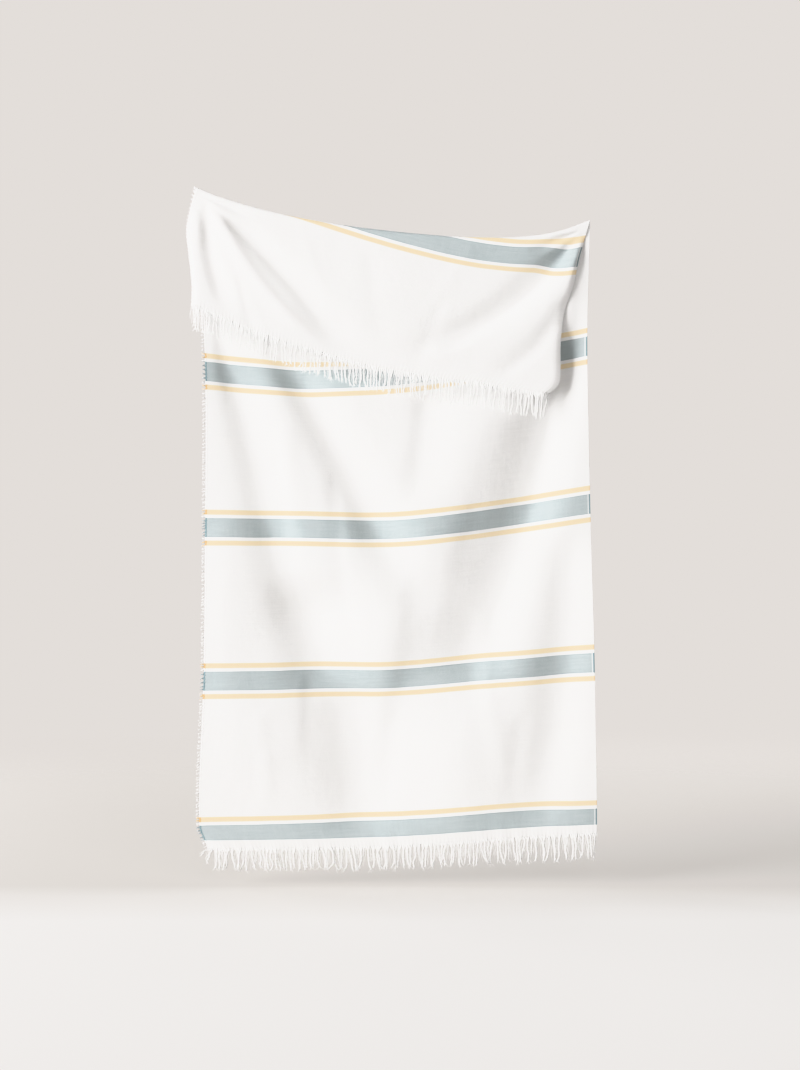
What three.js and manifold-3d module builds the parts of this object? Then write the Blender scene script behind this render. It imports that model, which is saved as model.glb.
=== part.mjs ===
// Fouta towel: one flat woven cotton length, folded over near its top and held up at the two ends of the
// fold, so that a long stretch hangs behind and a short one in front, each ending in a fringe.
// Millimetres, +Z up. The folded-over end hangs on the -Y side. The origin is where the left end is held.

import * as THREE from 'three';
import Module from 'manifold-3d';

const wasm = await Module();
wasm.setup();

// Woven cloth
const CLOTH_WIDTH = 1000;
const CLOTH_LENGTH = 1930;
const WALL = 1.4;

// The two stretches are parted along the fold, and each fringe from its edge of the cloth
const SEAM_GAP = 0.38;

// Bend of the cloth over the fold: tight where it is held, rounder between
const BEND_RADIUS_HELD = 5;
const BEND_RADIUS_BETWEEN = 8;

// Fringe: strands of plied yarn that leave a narrow woven strip
const STRAND_PITCH = 10;
const STRAND_LENGTH = 57;
const STRAND_LENGTH_SPREAD = 5;
const STRAND_RADIUS = 1.8;
const STRAND_ROOT_RADIUS = 0.8;
const STRAND_SIDES = 3;
const STRAND_TWIST = 0.25;
const STRAND_SWAY = 3;
// How much a strand keeps the direction of the cloth it leaves, between 0 and 1; the rest hangs plumb
const STRAND_FOLLOWS_CLOTH = 0.2;
const STRIP_DEPTH = 5;
const STRIP_WALL = 2.6;
const HEM_SEED = 11;
const FLAP_SEED = 311;

// Mesh steps
const CLOTH_COLUMNS = 40;
const BACK_ROWS = 26;
const FLAP_ROWS = 12;
const BEND_STEPS = 3;
// Length of cloth at an edge that gives the direction in which the cloth ends
const EDGE_STEP = 30;

// Colours
const COTTON = { color: 0xf3f1ec, roughness: 0.95, metalness: 0 };

// The long stretch behind, one row for each level.
// along: distance up from the hem on the cloth. left, right: X of the two selvedges.
// heights: Z of that weft thread at 0, 1/4, 1/2, 3/4 and all of the width.
const LEVELS = [
  { along: 0, left: 22, right: 980, heights: [-1590, -1588, -1583, -1566, -1551] },
  { along: 59, left: 1, right: 980, heights: [-1534, -1529, -1522, -1502, -1492] },
  { along: 444, left: 12, right: 974, heights: [-1156, -1154, -1151, -1130, -1110] },
  { along: 829, left: 16, right: 963, heights: [-779, -782, -784, -757, -720] },
  { along: 1214, left: 15, right: 957, heights: [-395, -415, -407, -373, -333] },
];
const QUARTERS = [0, 0.25, 0.5, 0.75, 1];

// The fold and the end of the front flap, one row for each warp thread followed.
// across: the thread's share of the width. x, z: where it goes over the fold. along: its length from the
// hem to the fold. endX, endZ: where it ends, at the root of the flap's fringe.
const WARPS = [
  { across: 0.0, x: -5, z: 31, along: 1640, endX: -17, endZ: -254 },
  { across: 0.06, x: 53, z: 8, along: 1634, endX: 36, endZ: -273 },
  { across: 0.18, x: 169, z: -26, along: 1622, endX: 141, endZ: -318 },
  { across: 0.32, x: 305, z: -54, along: 1604, endX: 264, endZ: -359 },
  { across: 0.5, x: 479, z: -77, along: 1571, endX: 421, endZ: -403 },
  { across: 0.68, x: 653, z: -91, along: 1539, endX: 579, endZ: -431 },
  { across: 0.82, x: 789, z: -91, along: 1519, endX: 702, endZ: -446 },
  { across: 0.92, x: 886, z: -77, along: 1509, endX: 790, endZ: -463 },
  { across: 1.0, x: 963, z: -50, along: 1500, endX: 860, endZ: -474 },
];

// How far the flap's two selvedges stray from a straight line, at shares of the way down. Across the flap
// this dies away as the share of the width to the power of EDGE_FADE.
const FLAP_EDGES = [
  { down: 0, left: 0, right: 0 },
  { down: 0.15, left: -11, right: -9 },
  { down: 0.35, left: -20, right: -10 },
  { down: 0.5, left: -15, right: -18 },
  { down: 0.7, left: -6, right: -7 },
  { down: 0.87, left: 0, right: 16 },
  { down: 1, left: 0, right: 0 },
];
const EDGE_FADE = 4;

// Soft folds, one row each, most of them fanning out from where the cloth is held.
// top, bottom: Z where the fold starts and ends. x1, x2, x3: its X there and half way. left, right: width of
// its two flanks half way. spread: how much wider it grows below. depth: + is a trough, - a ridge, seen
// from the front.
const BACK_FOLDS = [
  { top: -320, bottom: -1250, x1: 66, x2: 176, x3: 300, left: 48, right: 68, spread: 1.25, depth: 26 },
  { top: -340, bottom: -1050, x1: 190, x2: 383, x3: 560, left: 56, right: 67, spread: 1.2, depth: 31 },
  { top: -70, bottom: -400, x1: 940, x2: 846, x3: 700, left: 60, right: 40, spread: 1.4, depth: 12 },
  { top: -230, bottom: -1400, x1: 935, x2: 792, x3: 575, left: 96, right: 60, spread: 1.5, depth: 43 },
  { top: -430, bottom: -780, x1: 572, x2: 556, x3: 530, left: 36, right: 62, spread: 1.1, depth: 13 },
  { top: -420, bottom: -1180, x1: 780, x2: 630, x3: 415, left: 85, right: 72, spread: 1.3, depth: -10 },
  { top: -780, bottom: -1640, x1: 915, x2: 892, x3: 815, left: 58, right: 38, spread: 1.1, depth: 22 },
  { top: -700, bottom: -1540, x1: 60, x2: 82, x3: 120, left: 60, right: 60, spread: 1.2, depth: -7 },
  { top: -1120, bottom: -1600, x1: 640, x2: 640, x3: 655, left: 75, right: 60, spread: 1.1, depth: -9 },
  { top: -900, bottom: -1640, x1: 244, x2: 356, x3: 450, left: 100, right: 80, spread: 1.3, depth: 40 },
];
const FLAP_FOLDS = [
  { top: 10, bottom: -300, x1: 8, x2: 32, x3: 80, left: 15, right: 24, spread: 1.6, depth: 12 },
  { top: 5, bottom: -390, x1: 25, x2: 142, x3: 292, left: 24, right: 20, spread: 1.4, depth: -9 },
  { top: -15, bottom: -420, x1: 52, x2: 238, x3: 390, left: 28, right: 52, spread: 1.5, depth: 15 },
  { top: -70, bottom: -400, x1: 940, x2: 802, x3: 545, left: 66, right: 34, spread: 1.5, depth: 22 },
  { top: -90, bottom: -430, x1: 948, x2: 862, x3: 660, left: 30, right: 32, spread: 1.4, depth: -8 },
  { top: -220, bottom: -470, x1: 915, x2: 846, x3: 720, left: 30, right: 26, spread: 1.3, depth: 5 },
];
// Share of a fold's length over which it comes in and goes out
const FOLD_START = 0.16;
const FOLD_END = 0.34;
// Distance from the bend over which the folds come in
const FOLD_CLEAR_OF_BEND = 70;

// The slack of the middle: how far the two stretches belly apart under the fold, and over what length
const BACK_BELLY = 12;
const BACK_BELLY_LENGTH = 520;
const FLAP_BELLY = 3;
const FLAP_BELLY_LENGTH = 260;
// How far the free end of the flap swings back toward the stretch behind, and over what length
const FLAP_RETURN = 12;
const FLAP_RETURN_LENGTH = 110;
// Clearance that the two stretches always keep on top of the bend
const HANG_APART = 2.5;

const smooth = (edge0, edge1, value) => THREE.MathUtils.smoothstep(value, edge0, edge1);
const column = (rows, name) => rows.map((row) => row[name]);

// A smooth curve through values given at knots, straight beyond its two ends
function curve(knots, values, at) {
  const last = knots.length - 1;
  const slope = (i) => {
    const before = Math.max(i - 1, 0);
    const after = Math.min(i + 1, last);
    return (values[after] - values[before]) / (knots[after] - knots[before]);
  };
  if (at <= knots[0]) return values[0] + (at - knots[0]) * slope(0);
  if (at >= knots[last]) return values[last] + (at - knots[last]) * slope(last);
  const i = knots.findIndex((knot) => knot > at) - 1;
  const span = knots[i + 1] - knots[i];
  const t = (at - knots[i]) / span;
  const start = (1 + 2 * t) * (1 - t) ** 2 * values[i] + t * (1 - t) ** 2 * span * slope(i);
  const end = t * t * (3 - 2 * t) * values[i + 1] + t * t * (t - 1) * span * slope(i + 1);
  return start + end;
}

const warpShare = column(WARPS, 'across');
const warp = (name, share) => curve(warpShare, column(WARPS, name), share);
const backLength = (share) => warp('along', share);
const flapLength = (share) => CLOTH_LENGTH - warp('along', share);

// How far toward the back the folds of one stretch push the point (x, z)
function foldDepth(folds, x, z) {
  let sum = 0;
  for (const fold of folds) {
    const t = (fold.top - z) / (fold.top - fold.bottom);
    if (t <= 0 || t >= 1) continue;
    const centre = curve([0, 0.5, 1], [fold.x1, fold.x2, fold.x3], t);
    const grown = fold.spread ** (2 * t - 1);
    const width = (x < centre ? fold.left : fold.right) * grown;
    const strength = smooth(0, FOLD_START, t) * (1 - smooth(1 - FOLD_END, 1, t));
    sum += fold.depth * strength * Math.exp(-(((x - centre) / width) ** 2));
  }
  return sum;
}

// The bend over the fold: how far down and out a point is, a given length of cloth away from the ridge
function bend(length, radius) {
  const quarter = (Math.PI / 2) * radius;
  if (length >= quarter) return { down: radius + length - quarter, out: radius };
  const angle = length / radius;
  return { down: radius * (1 - Math.cos(angle)), out: radius * Math.sin(angle) };
}

const bendRadius = (share) =>
  BEND_RADIUS_HELD + (BEND_RADIUS_BETWEEN - BEND_RADIUS_HELD) * Math.sin(Math.PI * share);

// Middle of the cloth behind, a given length below the ridge
function backPoint(share, length) {
  const ridgeAlong = warp('along', share);
  const top = LEVELS.at(-1);
  const reach = ridgeAlong - top.along;
  const bent = bend(length, bendRadius(share));
  const stretch = reach / bend(reach, bendRadius(share)).down;
  const along = length < reach ? ridgeAlong - bent.down * stretch : ridgeAlong - length;

  const knots = [...column(LEVELS, 'along'), ridgeAlong];
  const acrossX = LEVELS.map((level) => THREE.MathUtils.lerp(level.left, level.right, share));
  const acrossZ = LEVELS.map((level) => curve(QUARTERS, level.heights, share));
  const x = curve(knots, [...acrossX, warp('x', share)], along);
  const z = curve(knots, [...acrossZ, warp('z', share)], along);

  const bellyLength = Math.min(length / BACK_BELLY_LENGTH, 1);
  const belly = BACK_BELLY * Math.sin(Math.PI * share) * Math.sin(Math.PI * bellyLength) ** 2;
  const apart = HANG_APART * smooth(0, FOLD_CLEAR_OF_BEND, length);
  const folded = foldDepth(BACK_FOLDS, x, z) * smooth(0, FOLD_CLEAR_OF_BEND, length);
  return new THREE.Vector3(x, bent.out + apart + belly + folded, z);
}

// Middle of the cloth in front, a given length below the ridge
function flapPoint(share, length) {
  const whole = flapLength(share);
  const radius = bendRadius(share);
  const bent = bend(length, radius);
  const down = bent.down / bend(whole, radius).down;
  const downKnots = column(FLAP_EDGES, 'down');
  const strayLeft = curve(downKnots, column(FLAP_EDGES, 'left'), down) * (1 - share) ** EDGE_FADE;
  const strayRight = curve(downKnots, column(FLAP_EDGES, 'right'), down) * share ** EDGE_FADE;
  const x = THREE.MathUtils.lerp(warp('x', share), warp('endX', share), down) + strayLeft + strayRight;
  const z = THREE.MathUtils.lerp(warp('z', share), warp('endZ', share), down);

  const slack = Math.sin(Math.PI * share);
  const belly = FLAP_BELLY * slack * smooth(0, FLAP_BELLY_LENGTH, length);
  const back = FLAP_RETURN * slack * smooth(whole - FLAP_RETURN_LENGTH, whole, length);
  const apart = HANG_APART * smooth(0, FOLD_CLEAR_OF_BEND, length);
  const folded = foldDepth(FLAP_FOLDS, x, z) * smooth(0, FOLD_CLEAR_OF_BEND, length);
  return new THREE.Vector3(x, back + folded - bent.out - apart - belly, z);
}

// A closed wall of even thickness on a grid of points, columns across and rows down. lead is a row above the
// first one, which only steers that row's direction.
function wall(points, thickness, lead = points[0]) {
  const rows = points.length;
  const columns = points[0].length;
  const positions = [];
  const faces = [];
  for (const side of [-1, 1]) {
    for (let j = 0; j < rows; j += 1) {
      const above = j > 0 ? points[j - 1] : lead;
      const below = points[Math.min(j + 1, rows - 1)];
      for (let i = 0; i < columns; i += 1) {
        const acrossStep = points[j][Math.min(i + 1, columns - 1)].clone().sub(points[j][Math.max(i - 1, 0)]);
        const downStep = below[i].clone().sub(above[i]);
        const normal = downStep.cross(acrossStep).normalize();
        positions.push(...points[j][i].clone().addScaledVector(normal, (side * thickness) / 2).toArray());
      }
    }
  }
  const inner = (j, i) => j * columns + i;
  const outer = (j, i) => rows * columns + j * columns + i;
  const quad = (p, q, r, s) => faces.push(p, q, r, p, r, s);
  for (let j = 0; j < rows - 1; j += 1) {
    for (let i = 0; i < columns - 1; i += 1) {
      quad(outer(j, i), outer(j + 1, i), outer(j + 1, i + 1), outer(j, i + 1));
      quad(inner(j, i), inner(j, i + 1), inner(j + 1, i + 1), inner(j + 1, i));
    }
    quad(outer(j, 0), inner(j, 0), inner(j + 1, 0), outer(j + 1, 0));
    quad(outer(j, columns - 1), outer(j + 1, columns - 1), inner(j + 1, columns - 1), inner(j, columns - 1));
  }
  for (let i = 0; i < columns - 1; i += 1) {
    quad(outer(0, i), outer(0, i + 1), inner(0, i + 1), inner(0, i));
    quad(outer(rows - 1, i), inner(rows - 1, i), inner(rows - 1, i + 1), outer(rows - 1, i + 1));
  }
  return geometryOf(positions, faces);
}

function geometryOf(positions, faces) {
  const geometry = new THREE.BufferGeometry();
  geometry.setAttribute('position', new THREE.Float32BufferAttribute(positions, 3));
  geometry.setIndex(faces);
  return geometry;
}

// Lengths below the ridge at which a stretch has its rows: close together round the bend, even below it
function rowLengths(radius, whole, rows) {
  const quarter = (Math.PI / 2) * radius;
  const bendRows = Array.from({ length: BEND_STEPS }, (_, j) => SEAM_GAP / 2 + (quarter * j) / BEND_STEPS);
  const below = rows - BEND_STEPS;
  const evenRows = Array.from({ length: below + 1 }, (_, j) => {
    const share = j / below;
    return quarter + (whole - quarter) * share;
  });
  return [...bendRows, ...evenRows];
}

// One stretch of the cloth, from the fold to its end
function stretch(pointAt, wholeAt, rows) {
  const shares = Array.from({ length: CLOTH_COLUMNS + 1 }, (_, i) => i / CLOTH_COLUMNS);
  const lengths = shares.map((share) => rowLengths(bendRadius(share), wholeAt(share), rows));
  const points = Array.from({ length: rows + 1 }, (_, j) =>
    shares.map((share, i) => pointAt(share, lengths[i][j])));
  const overTheFold = shares.map((share, i) => pointAt(share, -lengths[i][1]));
  return wall(points, WALL, overTheFold);
}

// A repeatable scatter between -1 and 1: the fractional part of a large sine
const SCATTER_STEP = 127.1;
const SCATTER_SIZE = 43758.5453;
function scatter(seed, draw) {
  const wave = Math.sin((seed + draw / 10) * SCATTER_STEP) * SCATTER_SIZE;
  return 2 * (wave - Math.floor(wave)) - 1;
}

function toSolid(geometry) {
  return new wasm.Manifold(new wasm.Mesh({
    numProp: 3,
    vertProperties: new Float32Array(geometry.attributes.position.array),
    triVerts: new Uint32Array(geometry.index.array),
  }));
}

// One strand: a slim three-sided rod through a root inside the strip, a bowed middle and a tip
function strand(root, down, seed, length) {
  const sway = new THREE.Vector3(scatter(seed, 1), scatter(seed, 2), 0).multiplyScalar(STRAND_SWAY);
  const bow = new THREE.Vector3(scatter(seed, 3), scatter(seed, 4), 0).multiplyScalar(STRAND_SWAY / 2);
  const hang = new THREE.Vector3(0, 0, -1).lerp(down, STRAND_FOLLOWS_CLOTH).normalize();
  const centres = [
    root,
    root.clone().addScaledVector(hang, length / 2).add(bow),
    root.clone().addScaledVector(hang, length).add(sway),
  ];
  const positions = [];
  const faces = [];
  centres.forEach((centre, ring) => {
    const radius = ring === 0 ? STRAND_ROOT_RADIUS : STRAND_RADIUS;
    for (let k = 0; k < STRAND_SIDES; k += 1) {
      const angle = (2 * Math.PI * (k + ring * STRAND_TWIST)) / STRAND_SIDES + seed;
      positions.push(centre.x + radius * Math.cos(angle), centre.y + radius * Math.sin(angle), centre.z);
    }
  });
  for (let ring = 0; ring < centres.length - 1; ring += 1) {
    for (let k = 0; k < STRAND_SIDES; k += 1) {
      const next = (k + 1) % STRAND_SIDES;
      const upper = ring * STRAND_SIDES;
      const lower = upper + STRAND_SIDES;
      faces.push(upper + k, lower + k, lower + next, upper + k, lower + next, upper + next);
    }
  }
  const tip = (centres.length - 1) * STRAND_SIDES;
  faces.push(0, 1, 2, tip, tip + 2, tip + 1);
  return toSolid(geometryOf(positions, faces));
}

// A fringe: a narrow strip just past the cloth's edge, with its strands fused into it
function fringe(pointAt, wholeAt, firstSeed) {
  const edgeAt = (share) => {
    const end = pointAt(share, wholeAt(share));
    const down = end.clone().sub(pointAt(share, wholeAt(share) - EDGE_STEP)).normalize();
    return { end, down };
  };
  const rows = [SEAM_GAP, SEAM_GAP + STRIP_DEPTH / 2, SEAM_GAP + STRIP_DEPTH].map((past) =>
    Array.from({ length: CLOTH_COLUMNS + 1 }, (_, i) => {
      const { end, down } = edgeAt(i / CLOTH_COLUMNS);
      return end.clone().addScaledVector(down, past);
    }));
  let solid = toSolid(wall(rows, STRIP_WALL));
  const count = CLOTH_WIDTH / STRAND_PITCH;
  for (let i = 0; i < count; i += 1) {
    const seed = firstSeed + i;
    const middleOfPitch = (i + 1 / 2) / count;
    const { end, down } = edgeAt(middleOfPitch);
    const root = end.clone().addScaledVector(down, SEAM_GAP + STRIP_DEPTH / 2);
    const length = STRAND_LENGTH + STRAND_LENGTH_SPREAD * scatter(seed, 5) - STRIP_DEPTH / 2;
    solid = solid.add(strand(root, down, seed, length));
  }
  const mesh = solid.getMesh();
  return geometryOf(Array.from(mesh.vertProperties), Array.from(mesh.triVerts));
}

const towel = new THREE.Group();

function piece(name, geometry) {
  const mesh = new THREE.Mesh(geometry, new THREE.MeshStandardMaterial(COTTON));
  mesh.name = name;
  towel.add(mesh);
}

piece('back_panel', stretch(backPoint, backLength, BACK_ROWS));
piece('front_flap', stretch(flapPoint, flapLength, FLAP_ROWS));
piece('hem_fringe', fringe(backPoint, backLength, HEM_SEED));
piece('flap_fringe', fringe(flapPoint, flapLength, FLAP_SEED));

export default towel;
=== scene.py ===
# A striped fouta towel: one flat woven cotton length, folded over near its top and held up at the two ends
# of the fold. Lengths in the tables are millimetres, as in the solid model; the meshes are in metres.
# Across is the distance from the left selvedge, along the distance from the lower hem, on the flat cloth.
# A share is a share of the cloth's width, from the left selvedge at 0 to the right one at 1.

import math
import random
from collections import namedtuple

import bmesh
import bpy
import numpy as np
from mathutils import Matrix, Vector, noise


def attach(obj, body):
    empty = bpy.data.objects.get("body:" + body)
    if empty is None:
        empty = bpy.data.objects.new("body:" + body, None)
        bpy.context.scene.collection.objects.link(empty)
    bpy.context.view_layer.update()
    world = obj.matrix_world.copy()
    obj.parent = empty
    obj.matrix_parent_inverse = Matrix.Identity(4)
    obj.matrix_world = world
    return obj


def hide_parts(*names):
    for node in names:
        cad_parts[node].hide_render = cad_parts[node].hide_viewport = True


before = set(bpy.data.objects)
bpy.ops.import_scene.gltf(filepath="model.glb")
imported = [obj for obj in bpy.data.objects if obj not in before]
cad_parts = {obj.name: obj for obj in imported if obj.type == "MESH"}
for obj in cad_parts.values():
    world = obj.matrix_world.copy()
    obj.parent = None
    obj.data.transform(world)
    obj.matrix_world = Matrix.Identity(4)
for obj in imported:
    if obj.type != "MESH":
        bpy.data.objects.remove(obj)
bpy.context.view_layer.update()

MM = 0.001

# Woven cloth
CLOTH_WIDTH = 1000
CLOTH_LENGTH = 1930
CLOTH_THICKNESS = 0.9
# The woven edge at the left stands a little inside the full width, which its cut weft ends make up
WOVEN_EDGE = 0.004

# The drape, with the values of the solid model
BEND_RADIUS_HELD = 5
BEND_RADIUS_BETWEEN = 8
BACK_BELLY = 7
BACK_BELLY_LENGTH = 520
FLAP_BELLY = 3
FLAP_BELLY_LENGTH = 260
FLAP_RETURN = 21
FLAP_RETURN_LENGTH = 130
HANG_APART = 2.5
EDGE_FADE = 4
FOLD_START = 0.16
FOLD_END = 0.34
FOLD_CLEAR_OF_BEND = 70
# How much deeper the folds are than the solid model's
FOLD_GAIN = 1.1

# Weft threads of the stretch behind: X of the two selvedges, Z at the quarters of the width
Level = namedtuple("Level", "along left right heights")
LEVELS = [
    Level(0, 22, 980, (-1590, -1588, -1583, -1566, -1551)),
    Level(59, 1, 980, (-1534, -1529, -1522, -1502, -1492)),
    Level(444, 12, 974, (-1156, -1154, -1151, -1130, -1110)),
    Level(829, 16, 963, (-779, -782, -784, -757, -720)),
    Level(1214, 15, 957, (-395, -415, -407, -373, -333)),
]
QUARTERS = (0, 0.25, 0.5, 0.75, 1)

# Warp threads: where they go over the fold, their length from hem to fold, and where the flap ends
Warp = namedtuple("Warp", "across x z along end_x end_z")
WARPS = [
    Warp(0.0, -5, 31, 1640, -17, -254),
    Warp(0.06, 53, 8, 1634, 36, -273),
    Warp(0.18, 169, -26, 1622, 141, -318),
    Warp(0.32, 305, -54, 1604, 264, -359),
    Warp(0.5, 479, -77, 1571, 421, -403),
    Warp(0.68, 653, -91, 1539, 579, -431),
    Warp(0.82, 789, -91, 1519, 702, -446),
    Warp(0.92, 886, -77, 1509, 790, -463),
    Warp(1.0, 963, -50, 1500, 860, -474),
]

# How far the flap's two selvedges stray from a straight line, at shares of the way down
Stray = namedtuple("Stray", "down left right")
FLAP_EDGES = [
    Stray(0, 0, 0),
    Stray(0.15, -11, -9),
    Stray(0.35, -20, -7),
    Stray(0.5, -15, -11),
    Stray(0.7, -6, 0),
    Stray(0.86, 0, 16),
    Stray(0.93, 0, 21),
    Stray(0.97, 0, 16),
    Stray(1, 0, 2),
]

# Soft folds. top, bottom: Z where one starts and ends. x1, x2, x3: its X at the top, half way and at the
# bottom. left, right: width of its flanks half way. spread: how much wider it grows below. depth: + is a
# trough seen from the front.
Fold = namedtuple("Fold", "top bottom x1 x2 x3 left right spread depth")
BACK_FOLDS = [
    Fold(-320, -1250, 66, 176, 300, 50, 68, 1.25, 22),
    Fold(-340, -1050, 190, 383, 560, 56, 67, 1.2, 31),
    Fold(-70, -400, 940, 846, 700, 60, 40, 1.4, 12),
    Fold(-245, -1400, 931, 789, 575, 96, 60, 1.5, 43),
    Fold(-430, -780, 572, 556, 530, 36, 62, 1.1, 13),
    Fold(-420, -1350, 740, 545, 380, 130, 100, 1.3, -14),
    Fold(-780, -1640, 915, 892, 815, 66, 52, 1.1, 22),
    Fold(-700, -1540, 60, 82, 120, 60, 60, 1.2, -7),
    Fold(-1120, -1600, 640, 640, 655, 75, 60, 1.1, -9),
    Fold(-900, -1640, 244, 356, 450, 100, 140, 1.3, 40),
]
FLAP_FOLDS = [
    Fold(10, -300, 8, 32, 80, 15, 24, 1.6, 12),
    Fold(5, -390, 25, 146, 322, 24, 20, 1.4, -9),
    Fold(-15, -420, 52, 242, 412, 28, 52, 1.5, 15),
    Fold(-70, -400, 940, 802, 545, 66, 34, 1.5, 22),
    Fold(-90, -430, 948, 862, 660, 34, 44, 1.4, -5),
    Fold(-220, -470, 915, 846, 700, 30, 26, 1.3, 6),
]

# Small creases between the soft folds, that the solid model leaves out
BACK_CREASES = [
    Fold(-30, -420, 12, 42, 92, 24, 34, 1.6, 8),
    Fold(-40, -440, 30, 130, 262, 30, 40, 1.5, 10),
    Fold(-300, -760, 905, 872, 820, 22, 16, 1.3, 4),
    Fold(-120, -620, 925, 905, 880, 13, 18, 1.5, -3),
    Fold(-60, -420, 30, 92, 176, 12, 16, 1.6, -5),
    Fold(-80, -560, 20, 52, 96, 14, 20, 1.5, 5),
    Fold(-520, -1000, 210, 236, 290, 22, 30, 1.2, -4),
    Fold(-640, -1180, 330, 352, 400, 26, 20, 1.2, 3.5),
    Fold(-700, -1100, 690, 652, 600, 34, 44, 1.2, 3),
    Fold(-980, -1460, 700, 716, 760, 30, 24, 1.1, -4),
    Fold(-1150, -1400, 275, 268, 276, 14, 30, 1.1, 3),
    Fold(-900, -1480, 548, 512, 450, 42, 60, 1.1, 9),
    Fold(-1180, -1620, 388, 398, 410, 70, 60, 1.1, 9),
    Fold(-1180, -1540, 480, 474, 462, 24, 30, 1.0, 3),
    Fold(-1240, -1530, 150, 168, 176, 24, 20, 1.0, -3),
    Fold(-1240, -1520, 800, 778, 770, 22, 26, 1.0, 3),
]
FLAP_CREASES = [
    Fold(-60, -330, 250, 300, 342, 22, 16, 1.4, -1.2),
    Fold(-110, -410, 420, 436, 470, 26, 34, 1.2, 3),
    Fold(-95, -300, 690, 620, 540, 20, 24, 1.3, -1),
    Fold(-240, -440, 600, 566, 520, 22, 18, 1.2, 2.5),
    Fold(-180, -360, 100, 122, 150, 12, 16, 1.3, 3),
]

# Fine pleats that run out from where the cloth is held, in both layers. x, z: that point. turn: degrees from
# straight down toward +X. width: degrees. reach: how far it runs. depth: + is a trough seen from the front.
Pleat = namedtuple("Pleat", "x z turn width reach depth")
PLEATS = [
    Pleat(10, 8, -2, 7, 150, -5),
    Pleat(10, 8, 24, 5, 130, 4),
    Pleat(10, 8, 57, 6, 190, -4),
    Pleat(10, 8, 70, 6, 150, 5),
    Pleat(10, 8, 83, 5, 110, -3),
    Pleat(952, -72, -8, 6, 120, 5),
    Pleat(952, -72, -18, 5, 170, -4),
    Pleat(952, -72, -33, 4, 140, -3),
    Pleat(952, -72, -44, 4, 150, 5),
    Pleat(952, -72, -58, 6, 200, -6),
    Pleat(952, -72, -69, 6, 160, 6),
    Pleat(952, -72, -80, 5, 130, -4),
]
PLEAT_START = 38
PLEAT_CLEAR_OF_BEND = 12

# Length of cloth on each side of the ridge that makes the turn
BEND_REACH = 25

# The two layers are pressed together where they are held
GRIPS = [(10, 0), (948, -78)]
GRIP_SPREAD = 42
GRIP_PRESS = 0.62

# Unevenness of the hanging cloth: size on the cloth, depth and a seed for each layer of noise
Rumple = namedtuple("Rumple", "size depth seed")
RUMPLES = [Rumple(210, 3.4, 3.1), Rumple(85, 1.3, 17.7), Rumple(38, 0.45, 41.3)]

# Ripples of the header just above the lower fringe. They wander, in radians, and their strength varies.
HEADER_WAVE = 47
HEADER_DEPTH = 1.4
HEADER_REACH = 15
HEADER_WANDER = Rumple(130, 5, 7.5)
HEADER_STRENGTH = 0.6
HEADER_VARIES = Rumple(90, 0.8, 2.5)

# The curl of the cloth's free corners, and how the flap's two sides roll back
CORNER_CURL = 12
CORNER_WIDTH = 0.035
CORNER_REACH = 70
FLAP_ROLL = 9
FLAP_ROLL_WIDTH = 0.022
# The flap is drawn down through the right grip: how far, from which share, and over what lengths
GRIP_DRAW = 19
GRIP_DRAW_FROM = (0.88, 0.985)
GRIP_DRAW_GROWS = 60
GRIP_DRAW_DIES = (90, 330)
# How far the lower part of the flap's right side lies back toward the stretch behind, from which share and
# from which part of the way down
SIDE_RETURN = 3
SIDE_RETURN_FROM = (0.8, 1)
SIDE_RETURN_DOWN = (0.4, 0.9)

# The flap and its fringe rest on the stretch behind: least distance, how softly they meet it, and the lengths
# below the ridge over which they begin to
REST_APART = 2.2
REST_SOFTLY = 7
STRANDS_REST_APART = 3.2
REST_GROWS = (BEND_REACH, 3 * BEND_REACH)

# The grid on which the depth of the stretch behind is known, how often its places are put right, and how far
# inside its last line, in cells, the last place is that can be read
REST_GRID = 12
REST_RIGHT, REST_LEFT, REST_TOP, REST_BOTTOM = 1010, -60, 40, -560
REST_ROUNDS = 4
GRID_END = 1.001

# Steps of the cloth's grid
CLOTH_COLUMNS = 140
BEND_ROWS = 10
BACK_ROWS = 208
FLAP_ROWS = 58
EDGE_STEP = 1

# Stripes: a blue band between two yellow lines, repeated along the cloth
STRIPE_REPEAT = 385
FIRST_BAND_TOP = 59
BLUE_WIDTH = 48
WHITE_GAP = 8.5
YELLOW_WIDTH = 12
STRIPES_START = 20
STRIPES_END = 1750

# Strands of the fringe along the width of the cloth
STRAND_PITCH = 10

# Distances over which the cloth's own directions are measured: along it in millimetres, across it as shares
LOOK_ALONG = 4
LOOK_ACROSS = 0.004
LOOK_INSIDE = 0.006


# The drape as functions

def smooth(low, high, value):
    t = np.clip((value - low) / (high - low), 0, 1)
    return t * t * (3 - 2 * t)


def curve(knots, values, at):
    """A smooth curve through values given at knots, straight beyond its two ends."""
    last = len(knots) - 1

    def slope(i):
        before, after = max(i - 1, 0), min(i + 1, last)
        return (values[after] - values[before]) / (knots[after] - knots[before])

    result = values[0] + (at - knots[0]) * slope(0)
    for i in range(last):
        span = knots[i + 1] - knots[i]
        t = np.clip((at - knots[i]) / span, 0, 1)
        start = (1 + 2 * t) * (1 - t) ** 2 * values[i] + t * (1 - t) ** 2 * span * slope(i)
        end = t * t * (3 - 2 * t) * values[i + 1] + t * t * (t - 1) * span * slope(i + 1)
        result = np.where(at >= knots[i], start + end, result)
    return np.where(at >= knots[last], values[last] + (at - knots[last]) * slope(last), result)


def column(rows, name):
    return [getattr(row, name) for row in rows]


def warp(name, share):
    return curve(column(WARPS, "across"), column(WARPS, name), share)


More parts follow.
